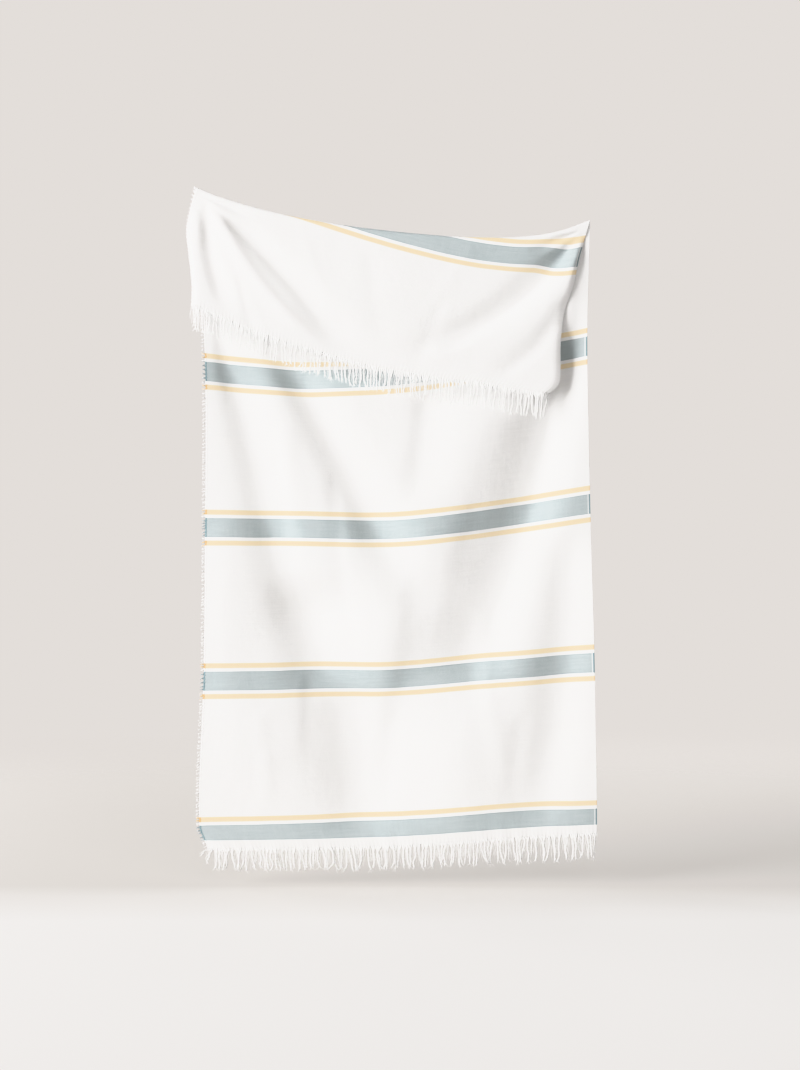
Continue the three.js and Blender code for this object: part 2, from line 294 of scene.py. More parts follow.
def fold_depth(folds, x, z):
    """How far toward the back the folds of one stretch push the point (x, z)."""
    total = np.zeros_like(x)
    for fold in folds:
        t = (fold.top - z) / (fold.top - fold.bottom)
        centre = curve((0, 0.5, 1), (fold.x1, fold.x2, fold.x3), t)
        width = np.where(x < centre, fold.left, fold.right) * fold.spread ** (2 * np.clip(t, 0, 1) - 1)
        strength = smooth(0, FOLD_START, t) * (1 - smooth(1 - FOLD_END, 1, t))
        total += fold.depth * strength * np.exp(-(((x - centre) / width) ** 2))
    return total


def pleat_depth(pleats, x, z):
    total = np.zeros_like(x)
    for pleat in pleats:
        right, down = x - pleat.x, pleat.z - z
        away = np.hypot(right, down)
        turned = np.degrees(np.arctan2(right, down)) - pleat.turn
        strength = smooth(0, PLEAT_START, away) * (1 - smooth(0.5 * pleat.reach, pleat.reach, away))
        total += pleat.depth * strength * np.exp(-((turned / pleat.width) ** 2))
    return total


def bend(length, radius):
    """How far down and out a point is over the fold, a length of cloth away from the ridge."""
    quarter = math.pi / 2 * radius
    angle = np.minimum(length, quarter) / radius
    straight = np.maximum(length - quarter, 0)
    return radius * (1 - np.cos(angle)) + straight, radius * np.sin(angle)


def bend_radius(share):
    return BEND_RADIUS_HELD + (BEND_RADIUS_BETWEEN - BEND_RADIUS_HELD) * np.sin(math.pi * share)


def rumpled(layer, across, along):
    """Smooth noise on the flat cloth, as deep as its layer says, repeatable."""
    at = np.vectorize(lambda a, b: noise.noise(Vector((a / layer.size, b / layer.size, layer.seed))))
    return layer.depth * at(across, along)


def unevenness(share, along):
    return sum(rumpled(layer, share * CLOTH_WIDTH, along) for layer in RUMPLES)


def header_ripple(share, along):
    across, edge = share * CLOTH_WIDTH, 0 * along
    wave = 2 * math.pi * across / HEADER_WAVE + rumpled(HEADER_WANDER, across, edge)
    ripple = HEADER_DEPTH * np.sin(wave) * np.exp(-np.maximum(along, 0) / HEADER_REACH)
    return ripple * (HEADER_STRENGTH + rumpled(HEADER_VARIES, across, edge))


def pressed(x, z):
    """1 away from the grips, less where the two layers are pressed together."""
    press = sum(np.exp(-((x - gx) ** 2 + (z - gz) ** 2) / GRIP_SPREAD ** 2) for gx, gz in GRIPS)
    return 1 - GRIP_PRESS * np.clip(press, 0, 1)


def back_point(share, length):
    """Middle of the cloth behind, a given length below the ridge."""
    ridge_along = warp("along", share)
    radius = bend_radius(share)
    reach = ridge_along - LEVELS[-1].along
    down, out = bend(length, radius)
    stretch = reach / bend(reach, radius)[0]
    along = np.where(length < reach, ridge_along - down * stretch, ridge_along - length)

    knots = column(LEVELS, "along") + [ridge_along]
    across_x = [level.left + (level.right - level.left) * share for level in LEVELS]
    across_z = [curve(QUARTERS, level.heights, share) for level in LEVELS]
    x = curve(knots, across_x + [warp("x", share)], along)
    z = curve(knots, across_z + [warp("z", share)], along)

    belly_length = np.minimum(length / BACK_BELLY_LENGTH, 1)
    belly = BACK_BELLY * np.sin(math.pi * share) * np.sin(math.pi * belly_length) ** 2
    clear = smooth(0, FOLD_CLEAR_OF_BEND, length)
    soft = FOLD_GAIN * fold_depth(BACK_FOLDS + BACK_CREASES, x, z) + unevenness(share, along)
    pleats = pleat_depth(PLEATS, x, z) * smooth(0, PLEAT_CLEAR_OF_BEND, length)

    corner = np.clip(1 - share / CORNER_WIDTH, 0, 1) ** 2 * np.clip(1 - along / CORNER_REACH, 0, 1) ** 2

    y = out + (HANG_APART + soft) * clear + belly + pleats + header_ripple(share, along)
    y = y + CORNER_CURL * corner
    return np.stack([x, y * pressed(x, z), z], axis=-1)


def depths_behind():
    """Y of the stretch behind, on a grid of X and Z as wide as the flap and its fringe."""
    columns = np.arange(REST_LEFT, REST_RIGHT, REST_GRID)
    x, z = np.meshgrid(columns, np.arange(REST_TOP, REST_BOTTOM, -REST_GRID))
    left, right = LEVELS[-1].left, LEVELS[-1].right
    share = np.clip((x - left) / (right - left), 0, 1)
    length = np.maximum(warp("z", share) - z, 0)
    for _ in range(REST_ROUNDS):
        at = back_point(share, length)
        share = np.clip(share + (x - at[..., 0]) / (right - left), 0, 1)
        length = np.maximum(length + at[..., 2] - z, 0)
    return back_point(share, length)[..., 1]


BEHIND = depths_behind()


def rested(x, y, z, apart=REST_APART, softly=REST_SOFTLY):
    """The depth y, held a little in front of the stretch behind at that place."""
    rows, columns = BEHIND.shape
    u = np.clip((x - REST_LEFT) / REST_GRID, 0, columns - GRID_END)
    v = np.clip((REST_TOP - z) / REST_GRID, 0, rows - GRID_END)
    i, j = u.astype(int), v.astype(int)
    u, v = u - i, v - j
    upper = BEHIND[j, i] * (1 - u) + BEHIND[j, i + 1] * u
    lower = BEHIND[j + 1, i] * (1 - u) + BEHIND[j + 1, i + 1] * u
    limit = upper * (1 - v) + lower * v - apart
    nearer = np.clip(0.5 + (limit - y) / (2 * softly), 0, 1)
    return limit * (1 - nearer) + y * nearer - softly * nearer * (1 - nearer)


def flap_point(share, length):
    """Middle of the cloth in front, a given length below the ridge."""
    ridge_along = warp("along", share)
    flap_length = CLOTH_LENGTH - ridge_along
    radius = bend_radius(share)
    down_length, out = bend(length, radius)
    down = down_length / bend(flap_length, radius)[0]
    places = column(FLAP_EDGES, "down")
    stray_left = curve(places, column(FLAP_EDGES, "left"), down) * (1 - share) ** EDGE_FADE
    stray_right = curve(places, column(FLAP_EDGES, "right"), down) * share ** EDGE_FADE
    x = warp("x", share) * (1 - down) + warp("end_x", share) * down + stray_left + stray_right
    z = warp("z", share) * (1 - down) + warp("end_z", share) * down

    drawn = smooth(0, GRIP_DRAW_GROWS, length) * (1 - smooth(*GRIP_DRAW_DIES, length))
    z = z - GRIP_DRAW * smooth(*GRIP_DRAW_FROM, share) * drawn

    returning = smooth(flap_length - FLAP_RETURN_LENGTH, flap_length, length)
    belly = FLAP_BELLY * np.sin(math.pi * share) * smooth(0, FLAP_BELLY_LENGTH, length)
    belly -= FLAP_RETURN * np.sin(math.pi * share) * returning
    clear = smooth(0, FOLD_CLEAR_OF_BEND, length)
    soft = FOLD_GAIN * fold_depth(FLAP_FOLDS + FLAP_CREASES, x, z) + unevenness(share, ridge_along + length)
    pleats = pleat_depth(PLEATS, x, z) * smooth(0, PLEAT_CLEAR_OF_BEND, length)
    edge = np.minimum(share - WOVEN_EDGE, 1 - share)
    roll = FLAP_ROLL * np.clip(1 - edge / FLAP_ROLL_WIDTH, 0, 1) ** 2 * clear
    side_return = SIDE_RETURN * smooth(*SIDE_RETURN_FROM, share) * smooth(*SIDE_RETURN_DOWN, down)

    y = (-out - HANG_APART * clear - belly + soft * clear + pleats + roll + side_return) * pressed(x, z)
    resting = smooth(*REST_GROWS, length)
    y = y * (1 - resting) + rested(x, y, z) * resting
    return np.stack([x, y, z], axis=-1)


def cloth_at(share, along):
    """Middle of the cloth at a share of its width and a distance along it, in millimetres."""
    share, along = np.broadcast_arrays(np.asarray(share, float), np.asarray(along, float))
    length = warp("along", share) - along
    behind = back_point(share, np.maximum(length, 0))
    front = flap_point(share, np.maximum(-length, 0))
    return np.where((length >= 0)[..., None], behind, front)


# Meshes

def finished(name, mesh_being_made, material):
    """A bmesh as an object of the scene, smooth shaded."""
    mesh = bpy.data.meshes.new(name)
    for face in mesh_being_made.faces:
        face.smooth = True
    mesh_being_made.to_mesh(mesh)
    mesh_being_made.free()
    mesh.materials.append(material)
    piece = bpy.data.objects.new(name, mesh)
    bpy.context.scene.collection.objects.link(piece)
    return piece


def row_lengths(whole):
    """Lengths from the ridge to the end of a stretch: fine over the bend, even below, thin at the edge."""
    def rows(even):
        fine = np.linspace(0, BEND_REACH, BEND_ROWS, endpoint=False)[:, None] + 0 * whole
        share = np.linspace(0, 1, even)[:, None]
        below = BEND_REACH + (whole - EDGE_STEP - BEND_REACH) * share
        return np.vstack([fine, below, whole[None, :]])
    return rows


def weave_cloth(material):
    """The whole cloth as one grid, bent over the fold, with its flat place as UV."""
    edge = EDGE_STEP / CLOTH_WIDTH
    inner = np.linspace(WOVEN_EDGE + edge, 1 - edge, CLOTH_COLUMNS - 1)
    shares = np.concatenate([[WOVEN_EDGE], inner, [1]])
    ridge_along = warp("along", shares)
    back = row_lengths(ridge_along)(BACK_ROWS)
    front = row_lengths(CLOTH_LENGTH - ridge_along)(FLAP_ROWS)
    along = np.vstack([(ridge_along - back)[::-1], (ridge_along + front)[1:]])
    points = np.vstack([
        back_point(shares + 0 * back, back)[::-1],
        flap_point(shares + 0 * front, front)[1:],
    ]) * MM
    rows, columns = along.shape[0] - 1, along.shape[1] - 1

    cloth = bmesh.new()
    bmesh.ops.create_grid(cloth, x_segments=columns, y_segments=rows, size=0.5)
    uv = cloth.loops.layers.uv.new("cloth")
    for face in cloth.faces:
        for loop in face.loops:
            i = round((loop.vert.co.x + 0.5) * columns)
            j = round((loop.vert.co.y + 0.5) * rows)
            loop[uv].uv = (shares[i], along[j, i] / CLOTH_LENGTH)
    for vert in cloth.verts:
        i = round((vert.co.x + 0.5) * columns)
        j = round((vert.co.y + 0.5) * rows)
        vert.co = points[j, i]
    piece = finished("woven_cloth", cloth, material)
    thickness = piece.modifiers.new("thickness", "SOLIDIFY")
    thickness.thickness = CLOTH_THICKNESS * MM
    thickness.offset = 0
    return piece


def unit_tube(sides, rings):
    """A closed tube of radius 1 from z = 0 to 1, with UV once round and once along it."""
    tube = bmesh.new()
    bmesh.ops.create_cone(tube, cap_ends=True, segments=sides, radius1=1, radius2=1, depth=1)
    bmesh.ops.translate(tube, verts=tube.verts, vec=(0, 0, 0.5))
    lengthwise = [e for e in tube.edges if abs(e.verts[0].co.z - e.verts[1].co.z) > 0.5]
    bmesh.ops.subdivide_edges(tube, edges=lengthwise, cuts=rings - 2)
    uv = tube.loops.layers.uv.new("cloth")
    for face in tube.faces:
        middle = face.calc_center_median()
        facing = math.atan2(middle.y, middle.x)
        for loop in face.loops:
            angle = math.atan2(loop.vert.co.y, loop.vert.co.x)
            turn = (angle - facing + math.pi) % (2 * math.pi) - math.pi
            loop[uv].uv = ((facing + turn) / (2 * math.pi), loop.vert.co.z)
    mesh = bpy.data.meshes.new("unit_tube")
    tube.to_mesh(mesh)
    tube.free()
    return mesh


def new_tubes():
    """An empty mesh that copies of a tube go into."""
    target = bmesh.new()
    target.loops.layers.uv.new("cloth")
    return target


def finished_tubes(name, target, material):
    bmesh.ops.recalc_face_normals(target, faces=target.faces)
    return finished(name, target, material)


def place_tube(target, tube, centres, side, through, wide, deep, uv_at):
    """A copy of the tube: a ring at each centre, half as wide along side and half as deep along through."""
    across, through = side * wide[:, None], through * deep[:, None]
    last = len(centres) - 1
    first_face = len(target.faces)
    target.from_mesh(tube)
    target.verts.ensure_lookup_table()
    target.faces.ensure_lookup_table()
    uv = target.loops.layers.uv["cloth"]
    for face in target.faces[first_face:]:
        for loop in face.loops:
            around, t = loop[uv].uv
            loop[uv].uv = uv_at(around, round(t * last))
    for vert in target.verts[-len(tube.vertices):]:
        ring = round(vert.co.z * last)
        place = centres[ring] + across[ring] * vert.co.x + through[ring] * vert.co.y
        vert.co = place * MM


def unit(vectors):
    return vectors / np.linalg.norm(vectors, axis=-1, keepdims=True)


def edge_frame(share, end, inward):
    """The cloth's edge there, and its directions: out of the edge, across the cloth and through it."""
    at = cloth_at(share, end)
    out = unit(at - cloth_at(share, end + inward * LOOK_ALONG))
    right = cloth_at(min(share + LOOK_ACROSS, 1), end)
    left = cloth_at(max(share - LOOK_ACROSS, WOVEN_EDGE), end)
    side = unit(right - left)
    return at, out, side, unit(np.cross(side, out))


# Single yarns: sides, radius, how thin they end, and how their UV runs round and along
YARN_SIDES = 3
YARN_RADIUS = 0.55
YARN_THINS = 0.55
YARN_ROUND = 0.1
YARN_RING_LENGTH = 3


def thin_yarn(target, tube, path, side, through, u, radius=YARN_RADIUS):
    """A single loose yarn along a short path, thinner toward its end."""
    thin = np.linspace(radius, YARN_THINS * radius, len(path))
    place_tube(target, tube, path, side, through, thin, thin,
               lambda around, ring: (u + around * YARN_ROUND, ring * YARN_RING_LENGTH * MM))


def clumps_of(draw, count, end_clump):
    """Which neighbours each strand leans together with."""
    clump, members = 0, {}
    for i in range(count):
        if i == count - end_clump or (i < count - end_clump and draw.random() < CLUMP_START):
            clump += 1
        members.setdefault(clump, []).append(i)
    return {i: sum(group) / len(group) for group in members.values() for i in group}


# The fringes

# Each strand is two plies that start side by side in the cloth's edge and wind round each other
STRAND_STRAYS = 0.18
FIRST_STRAND = WOVEN_EDGE + 0.003
LENGTH_STRAYS = (-5, 4)
PLY_SIDES = 4
PLY_RINGS = 15
PLY_RADIUS = 1.2
PLY_APART = 1.1
PLY_TWIST_LENGTH = 15
ROOT_DEPTH = 1.5
ROOT_RING = 0.5
FIRST_FREE_RING = 3
ROOT_HALF_WIDTH = 3.1
ROOT_HALF_DEPTH = 0.5
ROOT_APART = 0.25
GATHER_START = 0.5

# How a strand hangs: the length in which it turns down, its lean, bow and waves across and through the cloth
TURN_DOWN_LENGTH = 14
LEAN_GROWS = 1.6
LEAN_THROUGH = 0.7
BOW_THROUGH = 0.5
WAVE_ACROSS = 1.3
WAVE_THROUGH = 0.8
WAVES = 1.6

# The tip of a strand: where it opens and thins, and the single yarns that it ends in
TIP_OPENS, TIP_OPENS_FROM = 0.5, 0.88
TIP_THINS, TIP_THINS_FROM = 0.35, 0.9
TIP_YARNS = 4
TIP_RINGS = 5
TIP_START = 0.6
TIP_REACH = (6, 12)
TIP_ACROSS = 0.36
TIP_THROUGH = 0.3

# Loose yarns between the strands: where they start, how long they are, and how they stray and curl
LOOSE_RADIUS = 0.42
LOOSE_RINGS = 7
LOOSE_BESIDE = 0.6
LOOSE_SHARE = (0.6, 1.0)
LOOSE_FOLLOWS = 0.6
LOOSE_ACROSS = 3
LOOSE_THROUGH = 2
LOOSE_STRAYS_GROW = 1.5
LOOSE_WAVE = 1.3
LOOSE_WAVE_GROWS = 3
LOOSE_TURNS = (5, 11)
LOOSE_SECOND_TURN = 1.3

# Strands lean together in clumps: the chance that the next one starts a new clump
CLUMP_START = 0.42

# Two strands at the lower left corner that stick out sideways: length and heading
HEM_ASTRAY = {0: (34, (-0.85, -0.1, -0.45)), 1: (38, (-0.5, -0.1, -0.8))}

# One fringe. end, inward: its edge along the cloth, and which way the cloth lies. lengths: of its strands at
# the left and right. keep_direction: how much a strand keeps the cloth's own direction. gather: length over
# which it draws together. together: how far it leans to the middle of its clump. sway: how far it strays.
# loose: single yarns to each strand. astray: strands that stick out. end_clump: strands in the last clump.
FRINGE_COLUMNS = "end inward lengths keep_direction gather together sway loose astray end_clump seed"
Fringe = namedtuple("Fringe", FRINGE_COLUMNS)
HEM = Fringe(0, 1, (50, 62), 0.25, 13, (0.3, 0.8), 3.0, 5, HEM_ASTRAY, 3, 5)
FLAP_END = Fringe(CLOTH_LENGTH, -1, (56, 62), 0.1, 24, (0.05, 0.4), 1.6, 6, {}, 5, 9)

Strand = namedtuple("Strand", "at out side through hang length gather s t phase middle")


def fringe_rests(path, fringe):
    """The path of a strand: the flap's strands lie on the stretch behind."""
    if fringe.end:
        path = path.copy()
        path[:, 1] = rested(*path.T, apart=STRANDS_REST_APART, softly=PLY_RADIUS)
    return path


def hang_strand(i, count, clump_middle, fringe, draw):
    """The strand's place on the edge, its length, and the line that its middle follows."""
    share = (i + 0.5 + draw.uniform(-STRAND_STRAYS, STRAND_STRAYS)) / count
    share = max(share, FIRST_STRAND)
    at, out, side, through = edge_frame(share, fringe.end, fringe.inward)
    left_length, right_length = fringe.lengths
    length = left_length + (right_length - left_length) * share + draw.uniform(*LENGTH_STRAYS)
    gather = (clump_middle - i) * STRAND_PITCH * draw.uniform(*fringe.together)
    lean = np.array([gather + draw.gauss(0, fringe.sway), draw.gauss(0, LEAN_THROUGH * fringe.sway), 0])
    bow = np.array([draw.gauss(0, fringe.sway), draw.gauss(0, BOW_THROUGH * fringe.sway), 0])
    wave = np.array([draw.gauss(0, WAVE_ACROSS), draw.gauss(0, WAVE_THROUGH), 0])
    phase = draw.uniform(0, 2 * math.pi)
    hang = unit((1 - fringe.keep_direction) * np.array([0, 0, -1.0]) + fringe.keep_direction * out)
    if i in fringe.astray:
        length, heading = fringe.astray[i]
        hang = unit(np.array(heading, float))

    s = np.concatenate([[-ROOT_DEPTH, ROOT_RING], np.linspace(FIRST_FREE_RING, length, PLY_RINGS - 2)])
    t = np.clip(s / length, 0, 1)
    turned = smooth(0, TURN_DOWN_LENGTH, s)[:, None]
    straight = at + (out * (1 - turned) + hang * turned) * s[:, None]
    sway = lean * (t ** LEAN_GROWS)[:, None] + bow * np.sin(math.pi * t)[:, None]
    sway = sway + wave * np.sin(2 * math.pi * WAVES * t + phase)[:, None] * t[:, None]
    return Strand(at, out, side, through, hang, length, gather, s, t, phase, straight + sway)


def wind_plies(target, ply_tube, yarn_tube, strand, fringe, draw):
    """The two plies of a strand, flat in the cloth's edge and round below it, with frayed tips."""
    side, through, s = strand.side, strand.through, strand.s
    gathered = smooth(GATHER_START, fringe.gather, s)
    opened = 1 + TIP_OPENS * smooth(TIP_OPENS_FROM, 1, strand.t)
    taper = 1 - TIP_THINS * smooth(TIP_THINS_FROM, 1, strand.t)
    wide = (ROOT_HALF_WIDTH + (PLY_RADIUS - ROOT_HALF_WIDTH) * gathered) * taper
    deep = (ROOT_HALF_DEPTH + (PLY_RADIUS - ROOT_HALF_DEPTH) * gathered) * taper
    turn = (strand.phase + 2 * math.pi * np.maximum(s, 0) / PLY_TWIST_LENGTH)[:, None]
    off_middle = (side * np.cos(turn) + through * np.sin(turn)) * (PLY_APART * gathered * opened)[:, None]
    apart = side * (ROOT_APART * STRAND_PITCH * (1 - gathered))[:, None]
    for sign in (-1, 1):
        centres = fringe_rests(strand.middle + sign * (apart + off_middle), fringe)
        place_tube(target, ply_tube, centres, side, through, wide, deep,
                   lambda around, ring: (around, s[ring] * MM))
        fray_tip(target, yarn_tube, centres, strand, draw)


def fray_tip(target, tube, centres, strand, draw):
    """Single yarns that part at the tip of a ply."""
    steps = np.linspace(0, 1, TIP_RINGS)[:, None]
    down = unit(centres[-1] - centres[-3])
    for _ in range(TIP_YARNS // 2):
        spread = np.array([draw.gauss(0, TIP_ACROSS), draw.gauss(0, TIP_THROUGH), 0])
        start = centres[-2] + strand.side * draw.uniform(-TIP_START, TIP_START)
        reach = draw.uniform(*TIP_REACH)
        path = start + (down * steps + spread * steps ** LEAN_GROWS) * reach
        thin_yarn(target, tube, path, strand.side, strand.through, draw.random())


def loosen_yarn(target, tube, strand, fringe, draw):
    """A single curled yarn that hangs beside a strand."""
    steps = np.linspace(0, 1, LOOSE_RINGS)[:, None]
    beside = strand.side * draw.uniform(-LOOSE_BESIDE, LOOSE_BESIDE) * STRAND_PITCH
    reach = strand.length * draw.uniform(*LOOSE_SHARE)
    across = LOOSE_FOLLOWS * strand.gather + draw.gauss(0, LOOSE_ACROSS)
    spread = np.array([across, draw.gauss(0, LOOSE_THROUGH), 0])
    beat = draw.uniform(0, 2 * math.pi) + draw.uniform(*LOOSE_TURNS) * steps
    curl = np.hstack([np.sin(beat), np.cos(LOOSE_SECOND_TURN * beat), 0 * beat]) * LOOSE_WAVE
    curl = curl * np.minimum(LOOSE_WAVE_GROWS * steps, 1)
    path = strand.at + beside - strand.out + strand.hang * steps * reach + spread * steps ** LOOSE_STRAYS_GROW
    path = fringe_rests(path + curl, fringe)
    thin_yarn(target, tube, path, strand.side, strand.through, draw.random(), LOOSE_RADIUS)


def make_fringe(name, fringe, material):
    """The strands that gather the warp threads at one end of the cloth, and the loose yarns between them."""
    draw = random.Random(fringe.seed)
    strands, loose_yarns = new_tubes(), new_tubes()
    ply_tube = unit_tube(PLY_SIDES, PLY_RINGS)
    yarn_tube = unit_tube(YARN_SIDES, TIP_RINGS)
    loose_tube = unit_tube(YARN_SIDES, LOOSE_RINGS)
    count = CLOTH_WIDTH // STRAND_PITCH
    clump_middle = clumps_of(draw, count, fringe.end_clump)
    for i in range(count):
        strand = hang_strand(i, count, clump_middle[i], fringe, draw)
        wind_plies(strands, ply_tube, yarn_tube, strand, fringe, draw)
        for _ in range(fringe.loose):
            loosen_yarn(loose_yarns, loose_tube, strand, fringe, draw)
    twined = finished_tubes(f"{name}_strands", strands, material)
    return twined, finished_tubes(f"{name}_loose_yarns", loose_yarns, material)


# Cut ends and selvedges

# Cut ends of the weft, in tufts along the left selvedge
TUFT_PITCH = (6, 11)
TUFT_SPREAD = 8
TUFT_ENDS = 7
TUFT_DRAWN_IN = 0.8
TUFT_FAN = 1.6
TUFTS_CLEAR_OF_ENDS = 4
TUFT_SHADES = (0, 0.001, 0.002)
TUFT_SEED = 77
END_REACH = (5, 9)
END_RADII = (0.4, 0.62, 0.62, 0.4)
# An end starts inside the edge, leaves it at a foot, and droops at its tip
END_ROOT = 2
END_FOOT = 1.5
END_FOOT_DRAWN_IN = 0.4
END_HALF_WAY = 0.55
END_HALF_LIFT = 0.3
END_DROOP = 1
# How far the tip of an end stands out of the cloth, as a share of its reach: toward the front on the stretch
# behind (mean and spread), toward the back on the flap
BACK_END_LIFT = (0.1, 0.35)
FLAP_END_LIES_BACK = 1.2
FLAP_END_LIFT_SPREAD = 0.3


def make_cut_ends(material):
    """Tufts of cut weft ends that stand out past the left selvedge, in the colours of their stripes."""
    draw = random.Random(TUFT_SEED)
    target = new_tubes()
    tube = unit_tube(YARN_SIDES, len(END_RADII))
    middles = []
    along = TUFTS_CLEAR_OF_ENDS
    while along < CLOTH_LENGTH - TUFTS_CLEAR_OF_ENDS:
        middles.append(along)
        along += draw.uniform(*TUFT_PITCH)
    middles = np.repeat(middles, TUFT_ENDS)
    places = np.array([m + draw.uniform(-0.5, 0.5) * TUFT_SPREAD for m in middles])
    edge = cloth_at(WOVEN_EDGE, places)
    inner = cloth_at(WOVEN_EDGE + LOOK_INSIDE, places)
    upward = unit(cloth_at(WOVEN_EDGE, places + 1) - edge)
    outward = unit(edge - inner)
    through = unit(np.cross(outward, upward))
    toward_front = np.sign(-through[:, 1])
    ridge = float(warp("along", np.array(WOVEN_EDGE)))
    thin = np.array(END_RADII)
    for k, place in enumerate(places):
        reach = draw.uniform(*END_REACH)
        if place > ridge:
            lift = (draw.gauss(0, FLAP_END_LIFT_SPREAD) - FLAP_END_LIES_BACK) * toward_front[k]
        else:
            lift = draw.gauss(*BACK_END_LIFT) * toward_front[k]
        drawn_in = (middles[k] - place) * TUFT_DRAWN_IN
        tip_up = drawn_in + draw.gauss(0, TUFT_FAN) - END_DROOP
        start, out, up = edge[k], outward[k], upward[k]
        lifted = through[k] * lift * reach
        path = np.array([
            start - out * END_ROOT,
            start + out * END_FOOT + up * drawn_in * END_FOOT_DRAWN_IN,
            start + out * reach * END_HALF_WAY + up * drawn_in + lifted * END_HALF_LIFT,
            start + out * reach + up * tip_up + lifted,
        ])
        spot = (WOVEN_EDGE + draw.choice(TUFT_SHADES), place / CLOTH_LENGTH)
        place_tube(target, tube, path, up, through[k], thin, thin, lambda around, ring: spot)
    return finished_tubes("cut_weft_ends", target, material)


# Cords of crossed warp threads along the selvedges: rings are a step apart, and every other one is thicker by
# a lump and moved by a zigzag
Selvedge = namedtuple("Selvedge", "share step wide deep lump zigzag")
LEFT_SELVEDGE = Selvedge(WOVEN_EDGE + 0.0022, 2.2, 1.7, 0.8, 0.25, 1.1)
RIGHT_SELVEDGE = Selvedge(0.9988, 5, 1.1, 0.6, 0.0, 0)
SELVEDGE_SIDES = 6
SELVEDGE_END = 0.5
SELVEDGE_END_SHARE = 0.3


def make_selvedge(name, cord, material):
    """A slim cord of crossed warp threads that binds one side of the cloth."""
    rings = int(CLOTH_LENGTH / cord.step)
    along = np.linspace(SELVEDGE_END, CLOTH_LENGTH - SELVEDGE_END, rings)
    centres = cloth_at(cord.share, along)
    inside = -1 if cord.share > 0.5 else 1
    side = unit(cloth_at(cord.share + inside * LOOK_INSIDE, along) - centres)
    forward = unit(np.gradient(centres, axis=0))
    through = unit(np.cross(side, forward))
    beat = np.sin(np.arange(rings) * math.pi / 2)
    centres = centres + side * (cord.zigzag * beat)[:, None]
    thick = 1 + cord.lump * beat
    thick[[0, -1]] *= SELVEDGE_END_SHARE
    target = new_tubes()
    place_tube(target, unit_tube(SELVEDGE_SIDES, rings), centres, side, through,
               cord.wide * thick, cord.deep * thick,
               lambda around, ring: (cord.share, along[ring] / CLOTH_LENGTH))
    return finished_tubes(name, target, material)


# Materials

# Colours of the yarns
WHITE = (0.81, 0.803, 0.797)
WHITE_DEEP, WHITE_PALE = (0.8, 0.793, 0.787), (0.86, 0.85, 0.84)
BLUE = (0.36, 0.405, 0.413)
BLUE_DEEP, BLUE_PALE = (0.305, 0.352, 0.363), (0.385, 0.43, 0.437)
BLUE_LINE = (0.18, 0.235, 0.255)
YELLOW = (0.81, 0.66, 0.42)
TEAL = (0.07, 0.17, 0.20)
OCHRE = (0.55, 0.30, 0.09)
# Painted light and shade of the fringe yarn: deeper in the grooves between the plies, paler on their crowns
STRAND_SHADED_GROOVE, STRAND_LIT_CROWN = (0.85, 0.843, 0.833), (0.93, 0.925, 0.918)

# The stripes: how far they waver, and how soft the edges of bands, yellow lines and thin lines are
STRIPE_WAVER = 1.6
BAND_SOFT = 0.9
YELLOW_SOFT = 1.4
LINE_SOFT = 0.8

# Thin lines: where a blue band begins and ends, and along the two selvedges
BAND_LINE = 2.6
BAND_LINE_OVER = 0.2
LEFT_LINE = 3.6
RIGHT_LINE = 2.8
PALE_LINE_FROM, PALE_LINE_TO = 6.5, 4.2
PAST_THE_EDGE = 5

# Plain weave, in millimetres: the pitch of its threads, the height of each kind of relief, and how far from
# the edge the strands pull at the header
THREAD = 0.95
THREAD_RELIEF = 0.16
SLUB_RELIEF = 0.55
CRUMPLE_RELIEF = 1.1
HEADER_PULL = 0.5
HEADER_PULL_REACH = 7

# Noise in the weave and the yarns: lumps to a millimetre across and along the cloth, and its detail
Grain = namedtuple("Grain", "across along detail", defaults=(2.0,))
WAVER_GRAIN = Grain(0.012, 0.004)
WEFT_SLUBS = Grain(0.03, 0.85)
WARP_SLUBS = Grain(0.6, 0.012)
WEFT_LINES = Grain(0.011, 0.2)
CRUMPLES = Grain(0.045, 0.03, 3.0)
CORD_MOTTLE = Grain(0.5, 0.35)
CORD_LUMPS = Grain(0.8, 1.3)

# Slubs are thick places in the yarns: how much each kind counts, and the gain and shift that set them off
SLUB_SHARES = [(WEFT_SLUBS, 0.35), (WEFT_LINES, 0.35), (WARP_SLUBS, 0.3)]
SLUB_CONTRAST = (3.0, -1.0)

# How much a thread's weave and the coloured weft count: gain and shift of each
WEFT_ON_TOP = (-1.2, 0.55)
BLUE_BY_WEFT = (0.42, 0.72)
YELLOW_BY_WEFT = (0.45, 0.65)

# How much of each line's colour shows
BAND_LINE_SHARE = 0.22
TEAL_SHARE = 0.85
OCHRE_SHARE = 0.8
PALE_SHARE = 0.6

# Selvedge yarns: how much deeper the cord and the cut ends are than the cloth, and their mottle and relief
CORD_DARK = 0.85
CUT_ENDS_DARK = 0.35
OCHRE_TO_TEAL = 0.7
CORD_MOTTLE_SHARE = 0.35
CORD_RELIEF = 0.4

# Plied yarn: plies round the strand, length of a turn in metres, heights of plies and fibres as shares of
# the relief, and that relief in millimetres
YARN_PLIES = 3
YARN_TURN = 0.006
PLY_HEIGHT = 0.22
FIBRE_HEIGHT = 0.35
FIBRE_SCALE = 900.0
FIBRE_DETAIL = 3.0
YARN_RELIEF = 0.7

# Cotton: matt, with a soft sheen of loose fibres
COTTON_FINISH = {
    "Roughness": 0.9,
    "Specular IOR Level": 0.25,
    "Sheen Weight": 0.2,
    "Sheen Roughness": 0.5,
}


def shader_node(tree, kind, **settings):
    node = tree.nodes.new(kind)
    for name, value in settings.items():
        setattr(node, name, value)
    return node


def feed(tree, socket, source):
    """Joins a socket to another one, or sets it to a number or colour."""
    if isinstance(source, bpy.types.NodeSocket):
        tree.links.new(source, socket)
    else:
        socket.default_value = source


